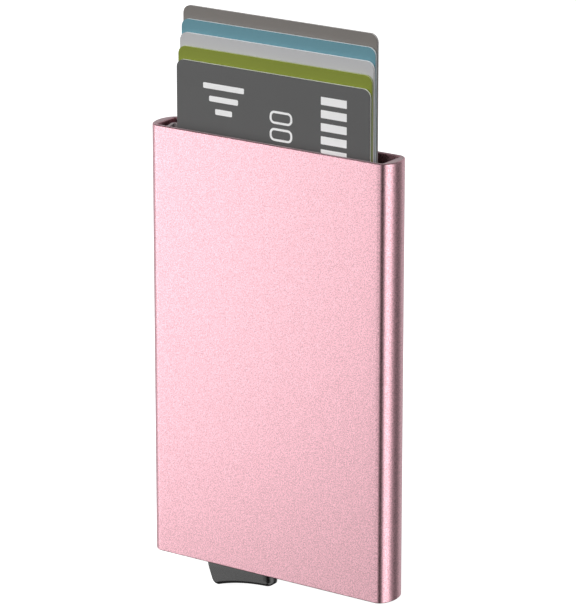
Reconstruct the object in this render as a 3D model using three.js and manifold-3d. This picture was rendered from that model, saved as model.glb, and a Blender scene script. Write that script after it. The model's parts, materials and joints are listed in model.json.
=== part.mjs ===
// A slim aluminium card wallet: an extruded sleeve, a two-part mechanism base in its lower end,
// and a thumb lever that pushes the stack of cards out as a staircase.
// Units are millimetres, +Z is up, +X is the wallet's width and -Y is its front.
// The origin is on the ground below the middle of the wallet, under the lowest point of the trigger.
import * as THREE from 'three';
import { mergeVertices } from 'three/addons/utils/BufferGeometryUtils.js';
import Module from 'manifold-3d';

const wasm = await Module();
wasm.setup();

// ---- Driving dimensions ----

// Bank card of the standard width, height and least thickness
const CARD_W = 53.98;
const CARD_H = 85.6;
const CARD_T = 0.68;
const CARD_R = 2;
const CARD_COUNT = 5;
const CARD_PITCH = 0.71;
const STACK_Y = -0.25;

// Sleeve
const SHELL_W = 68;
const SHELL_H = 106.8;
const SHELL_T = 9.8;
const SHELL_END_DEPTH = 3.15;
const SHELL_WALL = 1.1;
const CAVITY_W = 63.2;
const CAVITY_R = 0.5;
const RIM_CHAMFER = 0.3;

// Lever motion: the cards are shown pushed out, and the lever turns OPEN_ANGLE to store them
const OPEN_ANGLE = THREE.MathUtils.degToRad(52);
const CARD_RECESS = 1.5;
const FRONT_CARD_RISE = 16.05;
const RISE_STEP = 3.1;

// Lever. Its steps and neck leave the hub at ROOT_R, and TIP_CUT slants the underside of a step's tip.
const PIVOT_X = -13;
const PIVOT_Z = 14;
const HUB_R = 4.2;
const ROOT_R = 0.92 * HUB_R;
const LEVER_REACH = 44.2;
const TIP_CUT = [1.5, 2];
const STEP_POINTS = 10;
const CONTACT_GAP = 0.1;
const PIN_R = 1;
const LEVER_BORE_R = 1.15;
const FRAME_BORE_R = 1.05;

// Trigger: its front outline in the pushed position, as X and Z from the sleeve's lower end
const TRIGGER_T = 5.2;
const TRIGGER_END_DEPTH = 2.1;
const TRIGGER_DROP = 6.5;
const TRIGGER_CROWN = 1.3;
const TRIGGER_CROWN_INSET = 0.8;
const TRIGGER = {
  shoulderLeft: [-19.9, 1.2],
  heelTop: [-17.7, -5],
  heelCorner: [-17.2, -TRIGGER_DROP],
  heelEnd: [-15.8, -TRIGGER_DROP],
  archPull: [-9.5, -4.3],
  toeStart: [-2.4, -4.1],
  toeCorner: [-0.4, -4.1],
  toeTop: [-0.4, -2.9],
  shoulderRight: [-1, 1.4],
};

// Mechanism base
const BASE_GAP = 0.3;
const BASE_OUTER_Y = 3.65;
const BASE_INNER_Y = 2.85;
const BASE_BOTTOM = 0.4;
const BASE_TOP = 19;
const BLOCK_TOP = 4.5;
const SLOT_END_X = 0;
const SPLIT_GAP = 0.1;
const RIVET_R = 0.8;
const RIVET_HOLE_R = 0.9;
const RIVET_XS = [8, 26];
const RIVET_Z = 2.5;

// Card guides: hooked strips. The line is the middle of the left one's section, as X and Y,
// with Y from the middle of its foot.
const GUIDE_T = 0.7;
const GUIDE_WALL_GAP = 0.1;
const GUIDE_LINE = [
  [-31, 0], [-29.8, 0], [-29.35, 0.9], [-29.55, 2.4], [-29.95, 3.7], [-29.2, 4.3], [-27.3, 4.4],
];
const GUIDE_POINTS = 28;
const LEFT_GUIDE_SPAN = [20.5, 106.3];
const RIGHT_GUIDE_SPAN = [34, 97];

// Friction felts, from the sleeve's wall to the card stack
const FELT_W = 8;
const FELT_X = 16;
const FELT_CARD_GAP = 0.12;
const FELT_WALL_GAP = 0.05;
const FELT_SPAN = [30, 98];

// Contact chip of a bank card, measured from the card's lower and left edges
const CHIP_W = 10.8;
const CHIP_H = 12;
const CHIP_T = 0.2;
const CHIP_R = 1.6;
const CHIP_FROM_BOTTOM = 9.6;
const CHIP_FROM_LEFT = 18.4;
const CHIP_CLEARANCE = 0.12;
const CHIP_RECESS = 0.01;
const POCKET_DEPTH = 0.24;

// ---- Derived dimensions ----

const CAVITY_T = SHELL_T - 2 * SHELL_WALL;
const STORED_TOP = SHELL_H - CARD_RECESS;
const STORED_BOTTOM = STORED_TOP - CARD_H;
const BASE_HALF_W = CAVITY_W / 2 - BASE_GAP;
const STACK_HALF = ((CARD_COUNT - 1) * CARD_PITCH + CARD_T) / 2;

// ---- Materials ----

function finish(color, roughness, metalness) {
  return new THREE.MeshStandardMaterial({ color, roughness, metalness });
}

const pinkAnodised = finish(0xecb4c2, 0.45, 0.75);
const blackPlastic = finish(0x1b1b1c, 0.55, 0);
const greyPlastic = finish(0x4a4a4a, 0.4, 0);
const guidePlastic = finish(0x6d6467, 0.5, 0);
const steel = finish(0xb8b8ba, 0.3, 1);
const felt = finish(0x2a2829, 0.95, 0);
const chipGold = finish(0xc9a24a, 0.3, 1);
const cardFaces = [0x5e5e5e, 0x7c863c, 0xb2b2b4, 0x628d99, 0x787470];

// ---- Solids ----

// A closed geometry becomes a manifold-3d solid once its split vertices are merged.
function toSolid(geometry) {
  const bare = geometry.clone();
  bare.deleteAttribute('normal');
  bare.deleteAttribute('uv');
  const merged = mergeVertices(bare, 1e-5);
  return new wasm.Manifold(
    new wasm.Mesh({
      numProp: 3,
      vertProperties: new Float32Array(merged.attributes.position.array),
      triVerts: new Uint32Array(merged.index.array),
    }),
  );
}

function toGeometry(solid) {
  const mesh = solid.getMesh();
  const geometry = new THREE.BufferGeometry();
  geometry.setAttribute('position', new THREE.BufferAttribute(mesh.vertProperties, 3));
  geometry.setIndex(new THREE.BufferAttribute(mesh.triVerts, 1));
  geometry.computeVertexNormals();
  return geometry;
}

// A plan outline in X and Y, extruded up from low to high.
function column(shape, low, high, curveSegments = 6) {
  const geometry = new THREE.ExtrudeGeometry(shape, {
    depth: high - low,
    bevelEnabled: false,
    curveSegments,
  });
  geometry.translate(0, 0, low);
  return geometry;
}

// A front outline in X and Z, extruded through the wallet's thickness from front to back.
function slab(shape, front, back, curveSegments = 6) {
  const geometry = new THREE.ExtrudeGeometry(shape, {
    depth: back - front,
    bevelEnabled: false,
    curveSegments,
  });
  geometry.rotateX(Math.PI / 2);
  geometry.translate(0, back, 0);
  return geometry;
}

// A front outline made solid about y = 0. Its edges round off over the crown, next to the faces,
// and the faces are smaller than the outline by the inset.
function crownedSlab(shape, thickness, crown, inset, curveSegments) {
  const geometry = new THREE.ExtrudeGeometry(shape, {
    depth: thickness - 2 * crown,
    bevelEnabled: true,
    bevelThickness: crown,
    bevelSize: inset,
    bevelOffset: -inset,
    bevelSegments: 3,
    curveSegments,
  });
  geometry.rotateX(Math.PI / 2);
  geometry.translate(0, thickness / 2 - crown, 0);
  return geometry;
}

// A round bar along Y.
function crossBar(radius, x, z, front, back, segments = 32) {
  const geometry = new THREE.CylinderGeometry(radius, radius, back - front, segments);
  geometry.translate(x, (front + back) / 2, z);
  return geometry;
}

function rectangle(left, low, right, high) {
  const shape = new THREE.Shape();
  shape.moveTo(left, low);
  shape.lineTo(right, low);
  shape.lineTo(right, high);
  shape.lineTo(left, high);
  shape.closePath();
  return shape;
}

function roundedRectangle(left, low, right, high, radius, Kind = THREE.Shape) {
  const shape = new Kind();
  const quarter = Math.PI / 2;
  shape.moveTo(left + radius, low);
  shape.lineTo(right - radius, low);
  shape.absarc(right - radius, low + radius, radius, -quarter, 0);
  shape.lineTo(right, high - radius);
  shape.absarc(right - radius, high - radius, radius, 0, quarter);
  shape.lineTo(left + radius, high);
  shape.absarc(left + radius, high - radius, radius, quarter, 2 * quarter);
  shape.lineTo(left, low + radius);
  shape.absarc(left + radius, low + radius, radius, 2 * quarter, 3 * quarter);
  return shape;
}

// Two straight sides joined by half-ellipse ends of the given depth.
function oval(left, right, thickness, endDepth) {
  const half = thickness / 2;
  const shape = new THREE.Shape();
  shape.moveTo(left + endDepth, -half);
  shape.lineTo(right - endDepth, -half);
  shape.absellipse(right - endDepth, 0, endDepth, half, -Math.PI / 2, Math.PI / 2);
  shape.lineTo(left + endDepth, half);
  shape.absellipse(left + endDepth, 0, endDepth, half, Math.PI / 2, 1.5 * Math.PI);
  return shape;
}

// ---- Sleeve ----

function shellGeometry() {
  const shape = oval(-SHELL_W / 2, SHELL_W / 2, SHELL_T, SHELL_END_DEPTH);
  const halfW = CAVITY_W / 2;
  const halfT = CAVITY_T / 2;
  shape.holes.push(roundedRectangle(-halfW, -halfT, halfW, halfT, CAVITY_R, THREE.Path));
  const geometry = new THREE.ExtrudeGeometry(shape, {
    depth: SHELL_H - 2 * RIM_CHAMFER,
    bevelEnabled: true,
    bevelThickness: RIM_CHAMFER,
    bevelSize: RIM_CHAMFER,
    bevelOffset: -RIM_CHAMFER,
    bevelSegments: 1,
    curveSegments: 16,
  });
  geometry.translate(0, 0, RIM_CHAMFER);
  return geometry;
}

// ---- Mechanism base ----

// Half of the base: a side plate, half of the bottom block, and holes for the pin and rivets.
function baseHalfGeometry(side) {
  const outer = side * BASE_OUTER_Y;
  const inner = side * BASE_INNER_Y;
  const split = side * SPLIT_GAP / 2;
  const plate = slab(
    rectangle(-BASE_HALF_W, BASE_BOTTOM, BASE_HALF_W, BASE_TOP),
    Math.min(outer, inner),
    Math.max(outer, inner),
  );
  const block = slab(
    rectangle(SLOT_END_X, BASE_BOTTOM, BASE_HALF_W, BLOCK_TOP),
    Math.min(outer, split),
    Math.max(outer, split),
  );
  let solid = toSolid(plate).add(toSolid(block));
  const pinHole = crossBar(FRAME_BORE_R, PIVOT_X, PIVOT_Z, -CAVITY_T, CAVITY_T);
  solid = solid.subtract(toSolid(pinHole));
  for (const x of RIVET_XS) {
    const rivetHole = crossBar(RIVET_HOLE_R, x, RIVET_Z, -CAVITY_T, CAVITY_T, 24);
    solid = solid.subtract(toSolid(rivetHole));
  }
  return toGeometry(solid);
}

function pivotPinGeometry() {
  return crossBar(PIN_R, PIVOT_X, PIVOT_Z, -BASE_OUTER_Y, BASE_OUTER_Y);
}

function rivetGeometry(x) {
  return crossBar(RIVET_R, x, RIVET_Z, -BASE_OUTER_Y, BASE_OUTER_Y, 24);
}

// ---- Cards ----

function cardCentreY(index) {
  return STACK_Y + (index - (CARD_COUNT - 1) / 2) * CARD_PITCH;
}

// How far a card stands above its stored place when the lever is pushed.
function cardTravel(index) {
  return CARD_RECESS + FRONT_CARD_RISE + index * RISE_STEP;
}

function chipOutline(margin) {
  const left = -CARD_W / 2 + CHIP_FROM_LEFT;
  return roundedRectangle(
    left - margin,
    CHIP_FROM_BOTTOM - margin,
    left + CHIP_W + margin,
    CHIP_FROM_BOTTOM + CHIP_H + margin,
    CHIP_R,
  );
}

// A card with its lower edge at z = 0, its middle at y = 0 and a pocket for the chip in its face.
function cardGeometry() {
  const outline = roundedRectangle(-CARD_W / 2, 0, CARD_W / 2, CARD_H, CARD_R);
  const body = toSolid(slab(outline, -CARD_T / 2, CARD_T / 2));
  const pocket = toSolid(slab(chipOutline(CHIP_CLEARANCE), -CARD_T, POCKET_DEPTH - CARD_T / 2));
  return toGeometry(body.subtract(pocket));
}

function chipGeometry() {
  const front = CHIP_RECESS - CARD_T / 2;
  return slab(chipOutline(0), front, front + CHIP_T);
}

// ---- Ejector lever ----

// The edge that lifts one card. A flat-bottomed card rises in proportion to the lever's turn
// when the edge is an involute of a circle whose radius is the rise per radian.
function stepOutline(index) {
  const perRadian = cardTravel(index) / OPEN_ANGLE;
  const startHeight = STORED_BOTTOM - PIVOT_Z - CONTACT_GAP;
  const shape = new THREE.Shape();
  shape.moveTo(0, ROOT_R);
  shape.lineTo(perRadian, startHeight);
  let tip = new THREE.Vector2(perRadian, startHeight);
  for (let i = 1; i <= STEP_POINTS; i += 1) {
    const turn = (OPEN_ANGLE * i) / STEP_POINTS;
    const height = startHeight + perRadian * turn;
    tip = new THREE.Vector2(perRadian, height).rotateAround(new THREE.Vector2(0, 0), -turn);
    tip.clampLength(0, LEVER_REACH);
    shape.lineTo(tip.x, tip.y);
  }
  shape.lineTo(tip.x - TIP_CUT[0], tip.y - TIP_CUT[1]);
  shape.lineTo(0, -ROOT_R);
  shape.closePath();
  return shape;
}

// One plate of the staircase, turned from the stored position to the pushed one.
function stepGeometry(index) {
  const front = cardCentreY(index) - CARD_PITCH / 2;
  const geometry = slab(stepOutline(index), front, front + CARD_PITCH);
  geometry.rotateY(-OPEN_ANGLE);
  geometry.translate(PIVOT_X, 0, PIVOT_Z);
  return geometry;
}

// The neck and thumb piece in the pushed position, with its concave thumb face below.
function triggerOutline() {
  const shape = new THREE.Shape();
  shape.moveTo(PIVOT_X - ROOT_R, PIVOT_Z);
  shape.lineTo(...TRIGGER.shoulderLeft);
  shape.lineTo(...TRIGGER.heelTop);
  shape.quadraticCurveTo(...TRIGGER.heelCorner, ...TRIGGER.heelEnd);
  shape.quadraticCurveTo(...TRIGGER.archPull, ...TRIGGER.toeStart);
  shape.quadraticCurveTo(...TRIGGER.toeCorner, ...TRIGGER.toeTop);
  shape.lineTo(...TRIGGER.shoulderRight);
  shape.lineTo(PIVOT_X + ROOT_R, PIVOT_Z);
  shape.closePath();
  return shape;
}

// The trigger's toe end is round from front to back too, so a plan of the trigger trims its slab.
function triggerSolid() {
  const left = TRIGGER.shoulderLeft[0] - TRIGGER_END_DEPTH;
  const plan = oval(left, TRIGGER.toeTop[0], TRIGGER_T, TRIGGER_END_DEPTH);
  const trim = toSolid(column(plan, -SHELL_T, PIVOT_Z + SHELL_T, 12));
  const crowned = crownedSlab(triggerOutline(), TRIGGER_T, TRIGGER_CROWN, TRIGGER_CROWN_INSET, 8);
  return toSolid(crowned).intersect(trim);
}

function leverGeometry() {
  const half = TRIGGER_T / 2;
  const hub = toSolid(crossBar(HUB_R, PIVOT_X, PIVOT_Z, -half, half, 40));
  let solid = triggerSolid().add(hub);
  for (let index = 0; index < CARD_COUNT; index += 1) {
    solid = solid.add(toSolid(stepGeometry(index)));
  }
  const bore = crossBar(LEVER_BORE_R, PIVOT_X, PIVOT_Z, -SHELL_T, SHELL_T);
  return toGeometry(solid.subtract(toSolid(bore)));
}

// ---- Card guides and felts ----

// A hooked spring strip: a foot on the front wall, a leg towards the back and a lip to the cards.
// Its outline is the middle line made thick, and the right one is the mirror image.
function guideOutline(side) {
  const footY = GUIDE_WALL_GAP + GUIDE_T / 2 - CAVITY_T / 2;
  const middleLine = new THREE.SplineCurve(GUIDE_LINE.map(([x, y]) => new THREE.Vector2(x, footY + y)));
  const outer = [];
  const inner = [];
  for (let i = 0; i <= GUIDE_POINTS; i += 1) {
    const point = middleLine.getPoint(i / GUIDE_POINTS);
    const along = middleLine.getTangent(i / GUIDE_POINTS);
    const across = new THREE.Vector2(-along.y, along.x).multiplyScalar(GUIDE_T / 2);
    outer.push(point.clone().add(across));
    inner.unshift(point.clone().sub(across));
  }
  const outline = [...inner, ...outer].map((p) => new THREE.Vector2(-side * p.x, p.y));
  return new THREE.Shape(outline);
}

function guideGeometry(side, [low, high]) {
  return column(guideOutline(side), low, high);
}

function feltGeometry(sideX, sideY) {
  const cardSide = STACK_Y + sideY * (STACK_HALF + FELT_CARD_GAP);
  const wallSide = sideY * (CAVITY_T / 2 - FELT_WALL_GAP);
  const middle = sideX * FELT_X;
  return slab(
    rectangle(middle - FELT_W / 2, FELT_SPAN[0], middle + FELT_W / 2, FELT_SPAN[1]),
    Math.min(cardSide, wallSide),
    Math.max(cardSide, wallSide),
  );
}

// ---- Assembly ----

const wallet = new THREE.Group();
const body = new THREE.Group();
body.position.z = TRIGGER_DROP;
wallet.add(body);

function place(name, geometry, material, parent = body) {
  const mesh = new THREE.Mesh(geometry, material);
  mesh.name = name;
  parent.add(mesh);
  return mesh;
}

place('shell', shellGeometry(), pinkAnodised);
place('base_front', baseHalfGeometry(-1), blackPlastic);
place('base_rear', baseHalfGeometry(1), blackPlastic);
place('pivot_pin', pivotPinGeometry(), steel);
RIVET_XS.forEach((x, i) => place(`base_rivet_${i + 1}`, rivetGeometry(x), steel));
place('ejector_lever', leverGeometry(), greyPlastic);
place('left_card_guide', guideGeometry(-1, LEFT_GUIDE_SPAN), guidePlastic);
place('right_card_guide', guideGeometry(1, RIGHT_GUIDE_SPAN), guidePlastic);
place('front_left_felt', feltGeometry(-1, -1), felt);
place('front_right_felt', feltGeometry(1, -1), felt);
place('rear_left_felt', feltGeometry(-1, 1), felt);
place('rear_right_felt', feltGeometry(1, 1), felt);

for (let index = 0; index < CARD_COUNT; index += 1) {
  const seat = new THREE.Group();
  seat.position.set(0, cardCentreY(index), STORED_BOTTOM + cardTravel(index));
  body.add(seat);
  place(`card_${index + 1}`, cardGeometry(), finish(cardFaces[index], 0.4, 0), seat);
  place(`card_chip_${index + 1}`, chipGeometry(), chipGold, seat);
}

export default wallet;
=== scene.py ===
import json
import math

import bmesh
import bpy
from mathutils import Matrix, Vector, noise


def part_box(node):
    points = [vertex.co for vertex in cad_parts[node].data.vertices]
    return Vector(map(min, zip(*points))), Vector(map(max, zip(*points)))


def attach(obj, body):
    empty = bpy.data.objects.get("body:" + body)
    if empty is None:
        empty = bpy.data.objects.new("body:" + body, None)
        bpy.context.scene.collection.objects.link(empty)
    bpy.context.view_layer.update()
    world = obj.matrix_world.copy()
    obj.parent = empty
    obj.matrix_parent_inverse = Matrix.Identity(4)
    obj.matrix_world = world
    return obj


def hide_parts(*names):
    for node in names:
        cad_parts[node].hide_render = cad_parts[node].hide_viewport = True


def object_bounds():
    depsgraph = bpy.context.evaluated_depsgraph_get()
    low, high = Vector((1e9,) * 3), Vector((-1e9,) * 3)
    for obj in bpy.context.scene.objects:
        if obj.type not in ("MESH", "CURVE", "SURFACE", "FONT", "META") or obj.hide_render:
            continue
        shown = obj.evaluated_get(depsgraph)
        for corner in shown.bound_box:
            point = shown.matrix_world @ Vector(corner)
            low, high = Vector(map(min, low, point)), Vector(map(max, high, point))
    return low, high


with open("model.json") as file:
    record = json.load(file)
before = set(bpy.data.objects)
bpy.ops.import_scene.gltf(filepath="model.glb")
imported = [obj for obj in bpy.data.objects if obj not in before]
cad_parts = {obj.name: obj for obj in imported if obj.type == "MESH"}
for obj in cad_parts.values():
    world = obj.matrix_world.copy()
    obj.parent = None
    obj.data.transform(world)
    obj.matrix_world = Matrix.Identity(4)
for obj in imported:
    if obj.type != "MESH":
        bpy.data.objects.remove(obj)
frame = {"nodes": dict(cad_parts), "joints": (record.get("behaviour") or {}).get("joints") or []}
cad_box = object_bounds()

# A slim aluminium card wallet around its CAD frame. Lengths are metres, +Z is up, -Y is the front.

MM = 0.001

# ---- Sizes shared with the CAD model ----

SHELL_END_DEPTH = 3.15 * MM
SHELL_WALL = 1.1 * MM
CAVITY_HALF_W = 31.6 * MM
CAVITY_CORNER = 0.5 * MM
CARD_CORNER = 2 * MM
CARD_COUNT = 5
HUB_RADIUS = 4.2 * MM
BORE_RADIUS = 1.15 * MM
LEVER_REACH = 44.2 * MM
STEP_PITCH = 0.71 * MM
CONTACT_GAP = 0.1 * MM
TRIGGER_HALF = 2.6 * MM
TRIGGER_END_DEPTH = 2.1 * MM
TRIGGER_DROP = 6.5
NECK_HALF = 3.86 * MM

# ---- Sizes of the detailed pieces ----

# A little finer than the CAD model's, which is 0.3 mm
RIM_CHAMFER = 0.26 * MM
INK = 0.015 * MM
CHIP_MARGIN = 0.12 * MM
POCKET_DEPTH = 0.24 * MM
CARD_CORE_SHARE = 0.62
# What the rear steps lose at their tips, in X and Z
STEP_TIP_CUT = Vector((-1.5 * MM, -2 * MM))
FELT_WOBBLE = 0.03 * MM

# Soft shaping of the thumb piece, with heights from the sleeve's lower end
CROWN = 1.3 * MM
CROWN_INSET = 0.9 * MM
FLARE_LOW = -2.6 * MM
FLARE_HIGH = 0.6 * MM
FLARE_CUTS = 10
NECK_THIN = 0.8
FLARE_FULL_X = -14.5 * MM
FLARE_NONE_X = -4 * MM
BOW_START_X = -13 * MM
BOW_THIN = 0.2
TOE_X = -0.4 * MM
TOE_ROUND_SHARE = 0.96

# The camera aims at a place given from the sleeve's lower end
FOCAL_LENGTH_MM = 233.1
SENSOR_WIDTH_MM = 36
AIM_X = 3.16 * MM
AIM_HEIGHT = 67.34 * MM
CAMERA_DISTANCE = 0.9238
CAMERA_AZIMUTH = 34.17
CAMERA_ELEVATION = 17.33

shell_low, shell_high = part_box("shell")
card_boxes = [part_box(f"card_{i + 1}") for i in range(CARD_COUNT)]
joints = {joint["name"]: joint for joint in frame["joints"]}
pivot = Vector(joints["lever_swing"]["pos_m"])
open_angle = math.radians(joints["lever_swing"]["range_deg"][1])


# ---- Mesh helpers ----

def make_object(name, bm, materials, sharp_deg=30.0):
    """A mesh object from a bmesh, shaded smooth except across edges sharper than sharp_deg."""
    bmesh.ops.recalc_face_normals(bm, faces=bm.faces)
    mesh = bpy.data.meshes.new(name)
    bm.to_mesh(mesh)
    bm.free()
    mesh.polygons.foreach_set("use_smooth", [True] * len(mesh.polygons))
    mesh.set_sharp_from_angle(angle=math.radians(sharp_deg))
    for material in materials:
        mesh.materials.append(material)
    obj = bpy.data.objects.new(name, mesh)
    bpy.context.scene.collection.objects.link(obj)
    weighted = obj.modifiers.new("weighted_normals", "WEIGHTED_NORMAL")
    weighted.keep_sharp = True
    return obj


def bridge(bm, ring_a, ring_b, material_index=0):
    """Quads between two closed rings of vertices with the same count."""
    count = len(ring_a)
    for i in range(count):
        j = (i + 1) % count
        face = bm.faces.new((ring_a[i], ring_a[j], ring_b[j], ring_b[i]))
        face.material_index = material_index


def arc_points(centre_x, centre_y, radius, start_deg, end_deg, steps):
    """Points and outward normals along an arc, both ends included."""
    out = []
    for i in range(steps + 1):
        angle = math.radians(start_deg + (end_deg - start_deg) * i / steps)
        normal = Vector((math.cos(angle), math.sin(angle)))
        out.append((Vector((centre_x, centre_y)) + radius * normal, normal))
    return out


def rounded_rectangle(left, low, right, high, radius, steps=8):
    """Points and normals round a rectangle with round corners, counter-clockwise."""
    out = []
    out += arc_points(right - radius, low + radius, radius, -90, 0, steps)
    out += arc_points(right - radius, high - radius, radius, 0, 90, steps)
    out += arc_points(left + radius, high - radius, radius, 90, 180, steps)
    out += arc_points(left + radius, low + radius, radius, 180, 270, steps)
    return out


def outline_normals(points):
    """Outward normals of a counter-clockwise outline, averaged at each point."""
    out = []
    count = len(points)
    for i in range(count):
        before = (points[i] - points[i - 1]).normalized()
        after = (points[(i + 1) % count] - points[i]).normalized()
        along = (before + after).normalized()
        out.append((points[i], Vector((along.y, -along.x))))
    return out


def slab(bm, outline, front, back, edge=0.0, edge_steps=3, rim_index=0, face_index=0, core=None):
    """An outline in X and Z made solid from front to back in Y, with rounded edges.

    core is the share of the thickness, in the middle, that takes rim_index on its edge."""
    levels = []
    for i in range(edge_steps + 1):
        turn = 0.5 * math.pi * i / edge_steps
        levels.append((edge * (1 - math.sin(turn)), edge * (1 - math.cos(turn))))
    stations = [(front + depth, inset) for inset, depth in levels]
    if core is not None:
        half_core = 0.5 * core * (back - front)
        middle = 0.5 * (front + back)
        stations += [(middle - half_core, 0.0), (middle + half_core, 0.0)]
    stations += [(back - depth, inset) for inset, depth in reversed(levels)]
    rings = []
    for y, inset in stations:
        ring = []
        for point, normal in outline:
            place = point - inset * normal
            ring.append(bm.verts.new((place.x, y, place.y)))
        rings.append(ring)
    core_start = edge_steps + 1
    for i in range(len(rings) - 1):
        on_core = core is not None and i == core_start
        bridge(bm, rings[i], rings[i + 1], rim_index if on_core else face_index)
    for ring in (rings[0], rings[-1]):
        face = bm.faces.new(ring)
        face.material_index = face_index
    return rings


def round_slab(bm, x, z, radius, front, back, edge=0.0, steps=48):
    outline = arc_points(x, z, radius, 0, 360 - 360 / steps, steps - 1)
    slab(bm, outline, front, back, edge)


def boolean(target, tool, operation):
    """Joins or cuts target by tool, applies the result and removes the tool."""
    modifier = target.modifiers.new("cut", "BOOLEAN")
    modifier.operation = operation
    modifier.object = tool
    modifier.solver = "EXACT"
    graph = bpy.context.evaluated_depsgraph_get()
    mesh = bpy.data.meshes.new_from_object(target.evaluated_get(graph))
    target.modifiers.remove(modifier)
    target.data = mesh
    bpy.data.objects.remove(tool)


# ---- Materials ----

def shader(name, color, roughness, metallic=0.0, specular=0.5):
    """A Principled material and its node tree."""
    material = bpy.data.materials.new(name)
    material.use_nodes = True
    bsdf = material.node_tree.nodes["Principled BSDF"]
    bsdf.inputs["Base Color"].default_value = (*color, 1.0)
    bsdf.inputs["Roughness"].default_value = roughness
    bsdf.inputs["Metallic"].default_value = metallic
    bsdf.inputs["Specular IOR Level"].default_value = specular
    return material, material.node_tree, bsdf


def grain(tree, size, detail=2.0, stretch=(1.0, 1.0, 1.0)):
    """Noise in the object's own space with features of about the given size. Returns its output."""
    coords = tree.nodes.new("ShaderNodeTexCoord")
    mapping = tree.nodes.new("ShaderNodeMapping")
    mapping.inputs["Scale"].default_value = stretch
    texture = tree.nodes.new("ShaderNodeTexNoise")
    texture.inputs["Scale"].default_value = 1.0 / size
    texture.inputs["Detail"].default_value = detail
    tree.links.new(coords.outputs["Object"], mapping.inputs["Vector"])
    tree.links.new(mapping.outputs["Vector"], texture.inputs["Vector"])
    return texture.outputs["Fac"]


def ramp(tree, value, low, high, low_color, high_color):
    """Maps value from low..high to a colour between the two."""
    node = tree.nodes.new("ShaderNodeValToRGB")
    node.color_ramp.elements[0].position = low
    node.color_ramp.elements[0].color = (*low_color, 1.0)
    node.color_ramp.elements[1].position = high
    node.color_ramp.elements[1].color = (*high_color, 1.0)
    tree.links.new(value, node.inputs["Fac"])
    return node.outputs["Color"]


def span(tree, value, low, high):
    """Maps a 0..1 noise to low..high."""
    node = tree.nodes.new("ShaderNodeMapRange")
    node.inputs["From Min"].default_value = 0.3
    node.inputs["From Max"].default_value = 0.7
    node.inputs["To Min"].default_value = low
    node.inputs["To Max"].default_value = high
    tree.links.new(value, node.inputs["Value"])
    return node.outputs["Result"]


def add_bump(tree, bsdf, height, strength, distance):
    node = tree.nodes.new("ShaderNodeBump")
    node.inputs["Strength"].default_value = strength
    node.inputs["Distance"].default_value = distance
    tree.links.new(height, node.inputs["Height"])
    tree.links.new(node.outputs["Normal"], bsdf.inputs["Normal"])


def tint(color, factor):
    return tuple(channel * factor for channel in color)


def mottle(tree, bsdf, color, noise_value, darkest, lightest, low=0.3, high=0.7):
    """Varies the base colour with a noise, from darkest to lightest times the colour."""
    varied = ramp(tree, noise_value, low, high, tint(color, darkest), tint(color, lightest))
    tree.links.new(varied, bsdf.inputs["Base Color"])


def anodised_pink():
    """Sand-blasted and dyed aluminium: a satin metal with a fine, faintly sparkling grain."""
    color = (0.815, 0.472, 0.534)
    material, tree, bsdf = shader("anodised_pink", color, 0.32, metallic=1.0)
    fine = grain(tree, 0.26 * MM, detail=3.0)
    mottle(tree, bsdf, color, fine, 0.72, 1.3, low=0.36, high=0.66)
    tree.links.new(span(tree, grain(tree, 0.5 * MM), 0.28, 0.36), bsdf.inputs["Roughness"])
    add_bump(tree, bsdf, fine, 0.25, 0.02 * MM)
    return material


def cut_rim():
    """The sawn end faces of the sleeve: paler than the dyed sides, with faint saw lines."""
    color = (0.42, 0.3, 0.32)
    material, tree, bsdf = shader("cut_rim", color, 0.45, metallic=0.15)
    lines = grain(tree, 0.3 * MM, stretch=(1.0, 8.0, 1.0))
    mottle(tree, bsdf, color, lines, 0.9, 1.08)
    return material


def moulded_plastic(name, color, roughness, grain_size=0.18 * MM, bump=0.3, specular=0.5):
    material, tree, bsdf = shader(name, color, roughness, specular=specular)
    fine = grain(tree, grain_size, detail=3.0)
    broad = grain(tree, 6 * MM)
    mottle(tree, bsdf, color, broad, 0.92, 1.06)
    tree.links.new(span(tree, fine, roughness - 0.05, roughness + 0.06), bsdf.inputs["Roughness"])
    add_bump(tree, bsdf, fine, bump, 0.01 * MM)
    return material


def card_face(name, color):
    """Laminated card stock: smooth, with a faint cloudiness and a very fine orange peel."""
    material, tree, bsdf = shader(name, color, 0.5, specular=0.2)
    cloud = grain(tree, 9 * MM)
    mottle(tree, bsdf, color, cloud, 0.985, 1.015)
    add_bump(tree, bsdf, grain(tree, 0.35 * MM), 0.12, 0.01 * MM)
    return material


def ground_steel():
    color = (0.56, 0.56, 0.57)
    material, tree, bsdf = shader("ground_steel", color, 0.3, metallic=1.0)
    lines = grain(tree, 0.4 * MM, stretch=(1.0, 6.0, 1.0))
    mottle(tree, bsdf, color, lines, 0.85, 1.1)
    return material


def felt_cloth():
    color = (0.028, 0.026, 0.027)
    material, tree, bsdf = shader("felt_cloth", color, 0.95, specular=0.1)
    fibre = grain(tree, 0.3 * MM, detail=5.0)
    mottle(tree, bsdf, color, fibre, 0.6, 1.7)
    bsdf.inputs["Sheen Weight"].default_value = 0.35
    bsdf.inputs["Sheen Roughness"].default_value = 0.5
    add_bump(tree, bsdf, fibre, 0.8, 0.08 * MM)
    return material


def chip_gold():
    color = (0.72, 0.5, 0.2)
    material, tree, bsdf = shader("chip_gold", color, 0.25, metallic=1.0)
    wear = grain(tree, 1.5 * MM, detail=4.0)
    mottle(tree, bsdf, color, wear, 0.85, 1.08)
    tree.links.new(span(tree, wear, 0.2, 0.36), bsdf.inputs["Roughness"])
    return material


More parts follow.
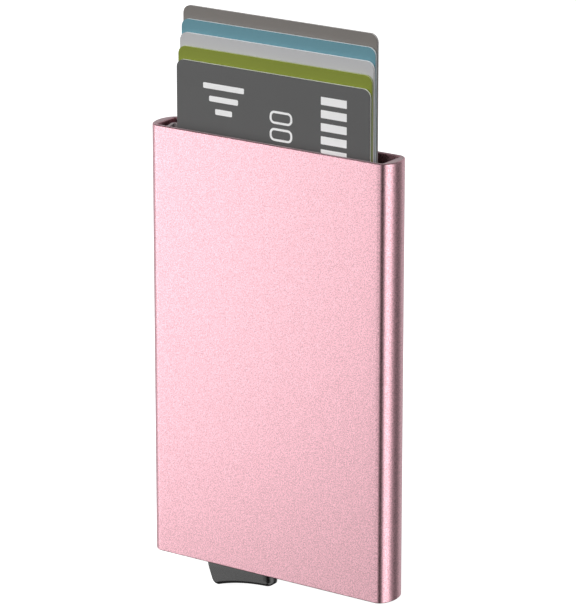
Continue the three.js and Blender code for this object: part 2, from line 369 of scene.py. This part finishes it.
PINK = anodised_pink()
RIM = cut_rim()
BASE_BLACK = moulded_plastic("base_black", (0.018, 0.018, 0.019), 0.5)
TRIGGER_GREY = moulded_plastic("trigger_grey", (0.008, 0.0075, 0.0075), 0.27, bump=0.08, specular=0.9)
GUIDE_GREY = moulded_plastic("guide_grey", (0.3, 0.26, 0.27), 0.4)
STEEL = ground_steel()
FELT = felt_cloth()
GOLD = chip_gold()
PRINT_WHITE = card_face("print_white", (0.9, 0.9, 0.9))
STRIPE_BLACK = card_face("stripe_black", (0.02, 0.018, 0.018))
SIGN_PANEL = card_face("sign_panel", (0.72, 0.72, 0.7))

# The record's slot, the face's colour and the core's colour for each card, front to back
CARD_FINISHES = [
    ("card_dark_grey", (0.109, 0.109, 0.109), (0.75, 0.78, 0.68)),
    ("card_olive", (0.203, 0.242, 0.034), (0.45, 0.5, 0.25)),
    ("card_silver", (0.475, 0.475, 0.487), (0.9, 0.9, 0.92)),
    ("card_blue", (0.122, 0.266, 0.319), (0.78, 0.82, 0.84)),
    ("card_warm_grey", (0.188, 0.174, 0.162), (0.5, 0.49, 0.48)),
]


# ---- Sleeve ----

def shell_rings():
    """Matching points and normals of the sleeve's outer and inner outlines, from the front left."""
    half_t = (shell_high.y - shell_low.y) / 2
    flat = (shell_high.x - shell_low.x) / 2 - SHELL_END_DEPTH
    cavity_half_t = half_t - SHELL_WALL
    corner = CAVITY_CORNER
    inner_flat = CAVITY_HALF_W - corner
    flat_steps, corner_steps, side_steps = 24, 6, 12
    outer, inner = [], []
    for side in (-1, 1):
        for i in range(flat_steps):
            share = 2 * i / flat_steps - 1
            down = Vector((0, side))
            outer.append((Vector((-side * flat * share, side * half_t)), down))
            inner.append((Vector((-side * inner_flat * share, side * cavity_half_t)), down))
        total = 2 * corner_steps + side_steps
        for i in range(total):
            turn = math.pi * i / total - math.pi / 2
            reach = flat + SHELL_END_DEPTH * math.cos(turn)
            point = Vector((-side * reach, -side * half_t * math.sin(turn)))
            normal = Vector((-side * math.cos(turn) / SHELL_END_DEPTH, -side * math.sin(turn) / half_t))
            outer.append((point, normal.normalized()))
        near = arc_points(inner_flat, corner - cavity_half_t, corner, -90, 0, corner_steps)
        far = arc_points(inner_flat, cavity_half_t - corner, corner, 0, 90, corner_steps)
        half_side = cavity_half_t - corner
        for point, normal in near[:-1]:
            inner.append((-side * point, -side * normal))
        for i in range(side_steps):
            y = half_side * (2 * i / side_steps - 1)
            inner.append((-side * Vector((CAVITY_HALF_W, y)), -side * Vector((1, 0))))
        for point, normal in far[:-1]:
            inner.append((-side * point, -side * normal))
    return outer, inner


def build_sleeve():
    outer, inner = shell_rings()
    low, high, cut = shell_low.z, shell_high.z, RIM_CHAMFER
    soft = 0.3 * cut
    # Outer wall, outer chamfer, end face, inner chamfer and inner wall, at each end.
    # The last number is the material of the band that leads to the ring.
    profile = [
        (outer, 0.0, low + cut, 0),
        (outer, 0.0, high - cut, 0),
        (outer, -soft * 0.3, high - cut + soft, 0),
        (outer, -cut, high - soft * 0.15, 0),
        (outer, -cut - soft * 0.5, high, 0),
        (inner, cut + soft * 0.5, high, 1),
        (inner, cut, high - soft * 0.15, 1),
        (inner, soft * 0.3, high - cut + soft, 0),
        (inner, 0.0, high - cut, 0),
        (inner, 0.0, low + cut, 0),
        (inner, cut, low, 0),
        (outer, -cut, low, 1),
    ]
    bm = bmesh.new()
    rings = []
    for outline, offset, z, _ in profile:
        ring = []
        for point, normal in outline:
            place = point + offset * normal
            ring.append(bm.verts.new((place.x, place.y, z)))
        rings.append(ring)
    for i, ring in enumerate(rings):
        following = (i + 1) % len(rings)
        bridge(bm, ring, rings[following], profile[following][3])
    sleeve = make_object("sleeve", bm, [PINK, RIM], sharp_deg=24)
    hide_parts("shell")
    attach(sleeve, "housing")


# ---- Cards ----

def card_outline(low, high):
    return rounded_rectangle(low.x, low.z, high.x, high.z, CARD_CORNER, steps=12)


def chip_box(index):
    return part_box(f"card_chip_{index + 1}")


def build_card(index):
    slot_name, face_color, core_color = CARD_FINISHES[index]
    low, high = card_boxes[index]
    face = card_face(f"face_{slot_name}", face_color)
    core = card_face(f"core_{slot_name}", core_color)
    bm = bmesh.new()
    slab(bm, card_outline(low, high), low.y, high.y, edge=0.05 * MM, rim_index=1, core=CARD_CORE_SHARE)
    card = make_object(f"card_{index + 1}_body", bm, [face, core])
    chip_low, chip_high = chip_box(index)
    left, bottom = chip_low.x - CHIP_MARGIN, chip_low.z - CHIP_MARGIN
    right, top = chip_high.x + CHIP_MARGIN, chip_high.z + CHIP_MARGIN
    pocket = bmesh.new()
    outline = rounded_rectangle(left, bottom, right, top, 1.6 * MM)
    slab(pocket, outline, low.y - POCKET_DEPTH, low.y + POCKET_DEPTH)
    boolean(card, make_object("pocket", pocket, [face]), "DIFFERENCE")
    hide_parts(f"card_{index + 1}")
    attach(card, f"card_body_{index + 1}")


def build_chip(index):
    """A contact plate cut into eight pads round a larger middle pad."""
    low, high = chip_box(index)
    bm = bmesh.new()
    back = high.y
    plate_front = low.y + 0.06 * MM
    plate = rounded_rectangle(low.x, low.z, high.x, high.z, 1.5 * MM)
    slab(bm, plate, plate_front, back, edge=0.02 * MM)
    gap = 0.28 * MM
    border = 0.35 * MM
    left, right = low.x + border, high.x - border
    bottom, top = low.z + border, high.z - border
    pad_w = (right - left - 2 * gap) * 0.34
    row = (top - bottom - 3 * gap) / 4
    for i in range(4):
        z = bottom + i * (row + gap)
        for x in (left, right - pad_w):
            pad = rounded_rectangle(x, z, x + pad_w, z + row, 0.45 * MM, steps=5)
            slab(bm, pad, low.y, plate_front + 0.01 * MM, edge=0.02 * MM)
    middle = rounded_rectangle(left + pad_w + gap, bottom, right - pad_w - gap, top, 0.6 * MM, steps=5)
    slab(bm, middle, low.y, plate_front + 0.01 * MM, edge=0.02 * MM)
    chip = make_object(f"card_{index + 1}_contacts", bm, [GOLD])
    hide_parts(f"card_chip_{index + 1}")
    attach(chip, f"card_body_{index + 1}")


def print_on_card(name, index, outlines, material, on_back=False):
    """Thin layers of ink on a card's face. The outlines are in X and Z."""
    low, high = card_boxes[index]
    front = high.y - INK if on_back else low.y - INK
    bm = bmesh.new()
    for outline in outlines:
        slab(bm, outline, front, front + 2 * INK, edge=0.004 * MM, edge_steps=1)
    piece = make_object(name, bm, [material])
    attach(piece, f"card_body_{index + 1}")


def build_front_print():
    """Plain marks on the front card: three bars, two rings and a row of blocks."""
    low, high = card_boxes[0]

    def block(u, v, width, height, radius):
        left = low.x + u * MM
        top = high.z - v * MM
        return rounded_rectangle(left, top - height * MM, left + width * MM, top, radius * MM, steps=6)

    bars = [
        block(7.6, 4.6, 11.6, 1.35, 0.3),
        block(9.3, 7.6, 8.2, 1.35, 0.3),
        block(11.0, 10.6, 4.8, 1.35, 0.3),
    ]
    print_on_card("card_1_bars", 0, bars, PRINT_WHITE)
    blocks = [block(40.6, 3.4 + 3.1 * i, 7.1, 1.9, 0.12) for i in range(5)]
    print_on_card("card_1_blocks", 0, blocks, PRINT_WHITE)
    build_rings(low, high)


def build_rings(low, high):
    """Two rounded rings, one under the other."""
    stroke = 0.55 * MM
    corner = 1.3 * MM
    bm = bmesh.new()
    for v in (8.6, 12.7):
        left, top = low.x + 26.4 * MM, high.z - v * MM
        right, bottom = left + 6.3 * MM, top - 3.1 * MM
        outer = rounded_rectangle(left, bottom, right, top, corner)
        inner = rounded_rectangle(
            left + stroke, bottom + stroke, right - stroke, top - stroke, corner - stroke
        )
        below, above = low.y + INK, low.y - INK
        rings = []
        for outline, y in ((outer, below), (outer, above), (inner, above), (inner, below)):
            rings.append([bm.verts.new((point.x, y, point.y)) for point, _ in outline])
        for i in range(4):
            bridge(bm, rings[i], rings[(i + 1) % 4])
    piece = make_object("card_1_rings", bm, [PRINT_WHITE])
    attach(piece, "card_body_1")


def build_back_print():
    """The rear card's back: a magnetic stripe and a plain signing strip."""
    low, high = card_boxes[-1]
    stripe = rounded_rectangle(
        low.x + 4.8 * MM, low.z + 0.1 * MM, low.x + 15.4 * MM, high.z - 0.1 * MM, 0.05 * MM, steps=2
    )
    print_on_card("card_5_stripe", CARD_COUNT - 1, [stripe], STRIPE_BLACK, on_back=True)
    panel = rounded_rectangle(
        low.x + 19.5 * MM, low.z + 8 * MM, low.x + 28.5 * MM, high.z - 10 * MM, 0.5 * MM, steps=4
    )
    print_on_card("card_5_panel", CARD_COUNT - 1, [panel], SIGN_PANEL, on_back=True)


# ---- Ejector lever ----

def turned(point, angle):
    """A point in X and Z turned anticlockwise, as seen from the front."""
    return Vector((
        point.x * math.cos(angle) - point.y * math.sin(angle),
        point.x * math.sin(angle) + point.y * math.cos(angle),
    ))


def step_outline(index):
    """One lifting step in the rest pose. Its edge is an involute, as in the CAD model."""
    travel = -joints[f"card_slide_{index + 1}"]["range_m"][0]
    per_radian = travel / open_angle
    start = card_boxes[index][0].z - travel - pivot.z - CONTACT_GAP
    points = [Vector((0, -0.8 * HUB_RADIUS))]
    tips = []
    steps = 28
    for i in range(steps + 1):
        turn = open_angle * i / steps
        tip = turned(Vector((per_radian, start + per_radian * turn)), -turn)
        if tip.length > LEVER_REACH:
            tip = tip.normalized() * LEVER_REACH
        tips.append(tip)
    points.append(tips[-1] + STEP_TIP_CUT)
    points += reversed(tips)
    points.append(Vector((0, 0.8 * HUB_RADIUS)))
    centre = Vector((pivot.x, pivot.z))
    return outline_normals([centre + turned(p, open_angle) for p in points])


def curve_points(start, control, end, steps):
    """A quadratic curve, without its first point."""
    out = []
    for i in range(1, steps + 1):
        t = i / steps
        out.append((1 - t) ** 2 * start + 2 * t * (1 - t) * control + t * t * end)
    return out


def trigger_outline():
    """The neck and the thumb piece in the rest pose, with the concave thumb face below."""
    def at(x, z):
        return Vector((x * MM, shell_low.z + z * MM))

    points = [Vector((pivot.x - NECK_HALF, pivot.z))]
    points += curve_points(at(-19.1, 3.5), at(-20.0, 1.2), at(-19.4, -0.6), 6)
    points.append(at(-18.55, -3.0))
    points += curve_points(at(-17.8, -5.1), at(-17.3, -TRIGGER_DROP), at(-15.8, -TRIGGER_DROP), 10)
    points += curve_points(at(-15.8, -TRIGGER_DROP), at(-9.5, -4.3), at(-2.4, -4.1), 20)
    points += curve_points(at(-2.4, -4.1), at(-0.4, -4.1), at(-0.4, -2.7), 10)
    points.append(at(-0.8, 0.8))
    points += curve_points(at(-0.8, 0.8), at(-1.0, 2.6), at(-2.1, 3.7), 6)
    points.append(Vector((pivot.x + NECK_HALF, pivot.z)))
    return outline_normals(points)


def build_thumb_piece(bm):
    """The trigger's outline made solid: its toe end is fully round, its other edges softly so."""
    levels = 8
    rings = []
    outline = trigger_outline()
    for side in (-1, 1):
        stations = range(levels + 1) if side < 0 else range(levels, -1, -1)
        for i in stations:
            turn = 0.5 * math.pi * i / levels
            ring = []
            for point, normal in outline:
                toe = max(0.0, normal.x) ** 2
                round_y = CROWN + toe * (TOE_ROUND_SHARE * TRIGGER_HALF - CROWN)
                round_in = CROWN_INSET + toe * (TRIGGER_END_DEPTH - CROWN_INSET)
                place = point - round_in * (1 - math.sin(turn)) * normal
                y = side * (TRIGGER_HALF - round_y * (1 - math.cos(turn)))
                ring.append(bm.verts.new((place.x, y, place.y)))
            rings.append(ring)
    for i in range(len(rings) - 1):
        bridge(bm, rings[i], rings[i + 1])
    for ring in (rings[0], rings[-1]):
        bm.faces.new(ring)
    for i in range(FLARE_CUTS + 1):
        z = shell_low.z + FLARE_LOW + (FLARE_HIGH - FLARE_LOW) * i / FLARE_CUTS
        everything = bm.verts[:] + bm.edges[:] + bm.faces[:]
        bmesh.ops.bisect_plane(bm, geom=everything, plane_co=(0, 0, z), plane_no=(0, 0, 1), dist=1e-7)
    for vert in bm.verts:
        vert.co.y *= neck_thinning(vert.co) * toe_bow(vert.co.x)


def neck_thinning(place):
    """The heel's faces flare outwards on their way down from the neck, and the toe's don't."""
    rise = (place.z - shell_low.z - FLARE_LOW) / (FLARE_HIGH - FLARE_LOW)
    rise = min(1.0, max(0.0, rise))
    heel = (FLARE_NONE_X - place.x) / (FLARE_NONE_X - FLARE_FULL_X)
    heel = min(1.0, max(0.0, heel))
    return 1 - (1 - NECK_THIN) * heel * rise * rise * (3 - 2 * rise)


def toe_bow(x):
    """The faces bow together slightly towards the toe."""
    share = max(0.0, (x - BOW_START_X) / (TOE_X - BOW_START_X))
    return 1 - BOW_THIN * share * share


def build_lever():
    bm = bmesh.new()
    build_thumb_piece(bm)
    lever = make_object("thumb_lever", bm, [TRIGGER_GREY])
    hub = bmesh.new()
    round_slab(hub, pivot.x, pivot.z, HUB_RADIUS, -TRIGGER_HALF, TRIGGER_HALF, edge=0.3 * MM)
    boolean(lever, make_object("hub", hub, [TRIGGER_GREY]), "UNION")
    for index in range(CARD_COUNT):
        front = (card_boxes[index][0].y + card_boxes[index][1].y - STEP_PITCH) / 2
        step = bmesh.new()
        slab(step, step_outline(index), front, front + STEP_PITCH)
        boolean(lever, make_object("step", step, [TRIGGER_GREY]), "UNION")
    bore = bmesh.new()
    round_slab(bore, pivot.x, pivot.z, BORE_RADIUS, -2 * TRIGGER_HALF, 2 * TRIGGER_HALF)
    boolean(lever, make_object("bore", bore, [TRIGGER_GREY]), "DIFFERENCE")
    lever.data.set_sharp_from_angle(angle=math.radians(28))
    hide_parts("ejector_lever")
    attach(lever, "lever")


# ---- Inside of the sleeve ----

def build_felt(name):
    """A felt strip: a soft-edged slab whose faces are roughened by fibres."""
    low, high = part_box(name)
    bm = bmesh.new()
    outline = rounded_rectangle(low.x, low.z, high.x, high.z, 0.6 * MM, steps=3)
    slab(bm, outline, low.y, high.y, edge=0.3 * MM, edge_steps=3)
    bmesh.ops.triangulate(bm, faces=bm.faces)
    long_edges = [edge for edge in bm.edges if edge.calc_length() > 1.5 * MM]
    bmesh.ops.subdivide_edges(bm, edges=long_edges, cuts=3, use_grid_fill=True)
    for vert in bm.verts:
        wobble = noise.noise(vert.co / (1.1 * MM))
        depth = 1 if vert.co.y > (low.y + high.y) / 2 else -1
        vert.co.y -= depth * FELT_WOBBLE * (1 + wobble)
    strip = make_object(f"{name}_strip", bm, [FELT], sharp_deg=60)
    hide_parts(name)
    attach(strip, "housing")


def soften_cad(name, material, width):
    """Keeps a CAD node, with its split vertices joined, its edges rounded and a better finish."""
    node = frame["nodes"][name]
    weld = node.modifiers.new("weld", "WELD")
    weld.merge_threshold = 0.002 * MM
    bevel = node.modifiers.new("bevel", "BEVEL")
    bevel.width = width
    bevel.segments = 3
    bevel.limit_method = "ANGLE"
    bevel.angle_limit = math.radians(40)
    node.data.materials.clear()
    node.data.materials.append(material)


# ---- Stage ----

# Brightness of the studio walls by azimuth in degrees: 0 is the front and 90 the right
WALL_LEVELS = [
    (-180, 0.6), (-155, 0.5), (-125, 0.5), (-100, 0.65), (-60, 0.78), (-36, 0.7), (-8, 0.95), (9, 1.0),
    (23, 0.05), (44, 0.0), (56, 0.3), (70, 1.9), (98, 1.8), (112, 0.48), (126, 0.13), (146, 0.16),
    (160, 0.5), (172, 0.75), (180, 0.7),
]
CEILING_LEVEL = 0.2
# Share of the walls' brightness left by elevation in degrees, towards the floor
FLOOR_SHARES = [(-90, 0.12), (-42, 0.12), (-28, 1.0)]
FLOOR_GLOW = 0.93


def build_floor():
    """A pale floor lit through from below, so that shadows on it stay faint."""
    bm = bmesh.new()
    bmesh.ops.create_grid(bm, x_segments=2, y_segments=2, size=6.0)
    mesh = bpy.data.meshes.new("floor")
    bm.to_mesh(mesh)
    bm.free()
    floor = bpy.data.objects.new("floor", mesh)
    bpy.context.scene.collection.objects.link(floor)
    material, _, bsdf = shader("floor_white", (0.6, 0.6, 0.6), 0.9, specular=0.0)
    bsdf.inputs["Emission Color"].default_value = (1.0, 1.0, 1.0, 1.0)
    bsdf.inputs["Emission Strength"].default_value = FLOOR_GLOW
    mesh.materials.append(material)
    floor.visible_glossy = False
    floor.visible_diffuse = False


def direction(azimuth_deg, elevation_deg):
    """From the object outwards. Azimuth 0 is the front and 90 the right."""
    azimuth = math.radians(azimuth_deg)
    elevation = math.radians(elevation_deg)
    return Vector((
        math.sin(azimuth) * math.cos(elevation),
        -math.cos(azimuth) * math.cos(elevation),
        math.sin(elevation),
    ))


def look(obj, place, target):
    obj.location = place
    obj.rotation_mode = "QUATERNION"
    obj.rotation_quaternion = (target - place).to_track_quat("-Z", "Y")


def build_light(name, azimuth, elevation, distance, size, power, in_metal=True):
    """An area light towards the middle of the object. Metal mirrors it only with in_metal."""
    data = bpy.data.lights.new(name, "AREA")
    data.shape = "RECTANGLE"
    data.size, data.size_y = size
    data.energy = power
    light = bpy.data.objects.new(name, data)
    bpy.context.scene.collection.objects.link(light)
    look(light, middle + distance * direction(azimuth, elevation), middle)
    light.visible_camera = False
    light.visible_glossy = in_metal


def world_ramp(tree, value, stops):
    """A grey ramp over (position, level) stops, eased between them."""
    node = tree.nodes.new("ShaderNodeValToRGB")
    node.color_ramp.interpolation = "EASE"
    elements = node.color_ramp.elements
    for position, level in stops:
        if position <= 0:
            element = elements[0]
        elif position >= 1:
            element = elements[-1]
        else:
            element = elements.new(position)
        element.color = (level, level, level, 1.0)
    tree.links.new(value, node.inputs["Fac"])
    return node.outputs["Color"]


def world_math(tree, operation, first, second):
    node = tree.nodes.new("ShaderNodeMath")
    node.operation = operation
    tree.links.new(first, node.inputs[0])
    if isinstance(second, float):
        node.inputs[1].default_value = second
    else:
        tree.links.new(second, node.inputs[1])
    return node.outputs[0]


def build_world():
    """A studio with dark flags in front of and behind the right side, and a dim ceiling.

    The backdrop behind the object is plain white, and nothing below lights matt surfaces."""
    world = bpy.data.worlds.new("studio")
    bpy.context.scene.world = world
    world.use_nodes = True
    tree = world.node_tree
    coords = tree.nodes.new("ShaderNodeTexCoord")
    split = tree.nodes.new("ShaderNodeSeparateXYZ")
    tree.links.new(coords.outputs["Generated"], split.inputs[0])
    frontwards = world_math(tree, "MULTIPLY", split.outputs["Y"], -1.0)
    azimuth = world_math(tree, "ARCTAN2", split.outputs["X"], frontwards)
    turn = world_math(tree, "DIVIDE", azimuth, 2 * math.pi)
    turn = world_math(tree, "ADD", turn, 0.5)
    wall_stops = [((degrees + 180) / 360, level) for degrees, level in WALL_LEVELS]
    walls = world_ramp(tree, turn, wall_stops)
    height = world_math(tree, "MULTIPLY", split.outputs["Z"], 0.5)
    height = world_math(tree, "ADD", height, 0.5)
    above = world_ramp(tree, height, [(0.0, 0.0), (0.74, 0.0), (0.82, 1.0), (1.0, 1.0)])
    floor_stops = [(0.5 + 0.5 * math.sin(math.radians(degrees)), share) for degrees, share in FLOOR_SHARES]
    shares = world_ramp(tree, height, [*floor_stops, (1.0, 1.0)])
    room = tree.nodes.new("ShaderNodeMix")
    room.data_type = "RGBA"
    tree.links.new(above, room.inputs["Factor"])
    tree.links.new(world_math(tree, "MULTIPLY", walls, shares), room.inputs["A"])
    room.inputs["B"].default_value = (CEILING_LEVEL, CEILING_LEVEL, CEILING_LEVEL, 1.0)
    seen = tree.nodes.new("ShaderNodeLightPath")
    below = world_math(tree, "LESS_THAN", split.outputs["Z"], 0.0)
    unlit = tree.nodes.new("ShaderNodeMix")
    unlit.data_type = "RGBA"
    dark = world_math(tree, "MULTIPLY", below, seen.outputs["Is Diffuse Ray"])
    tree.links.new(dark, unlit.inputs["Factor"])
    tree.links.new(room.outputs["Result"], unlit.inputs["A"])
    unlit.inputs["B"].default_value = (0.0, 0.0, 0.0, 1.0)
    tree.links.new(unlit.outputs["Result"], tree.nodes["Background"].inputs["Color"])
    plain = tree.nodes.new("ShaderNodeBackground")
    plain.inputs["Color"].default_value = (1.0, 1.0, 1.0, 1.0)
    either = tree.nodes.new("ShaderNodeMixShader")
    tree.links.new(seen.outputs["Is Camera Ray"], either.inputs["Fac"])
    tree.links.new(tree.nodes["Background"].outputs["Background"], either.inputs[1])
    tree.links.new(plain.outputs["Background"], either.inputs[2])
    tree.links.new(either.outputs["Shader"], tree.nodes["World Output"].inputs["Surface"])


def build_camera():
    data = bpy.data.cameras.new("camera")
    data.lens = FOCAL_LENGTH_MM
    data.sensor_width = SENSOR_WIDTH_MM
    camera = bpy.data.objects.new("camera", data)
    bpy.context.scene.collection.objects.link(camera)
    target = Vector((AIM_X, 0, shell_low.z + AIM_HEIGHT))
    look(camera, target + CAMERA_DISTANCE * direction(CAMERA_AZIMUTH, CAMERA_ELEVATION), target)
    data.clip_start = 0.05
    data.clip_end = 50
    bpy.context.scene.camera = camera


# ---- Assembly ----

middle = (cad_box[0] + cad_box[1]) / 2
build_camera()
build_world()
build_floor()
build_light("key", -15, 50, 0.7, (0.7, 0.7), 3.8, in_metal=False)
build_light("fill_left", -49.7, -7.4, 0.6, (0.4, 0.4), 0.62)
build_light("strip_left", -34, 20, 0.6, (0.3, 0.1), 0.45)

build_sleeve()
for i in range(CARD_COUNT):
    build_card(i)
    build_chip(i)
build_front_print()
build_back_print()
build_lever()
for felt in ("front_left_felt", "front_right_felt", "rear_left_felt", "rear_right_felt"):
    build_felt(felt)
soften_cad("base_front", BASE_BLACK, 0.25 * MM)
soften_cad("base_rear", BASE_BLACK, 0.25 * MM)
soften_cad("left_card_guide", GUIDE_GREY, 0.08 * MM)
soften_cad("right_card_guide", GUIDE_GREY, 0.08 * MM)
for pin in ("pivot_pin", "base_rivet_1", "base_rivet_2"):
    soften_cad(pin, STEEL, 0.15 * MM)

bpy.context.scene.view_settings.view_transform = "Standard"
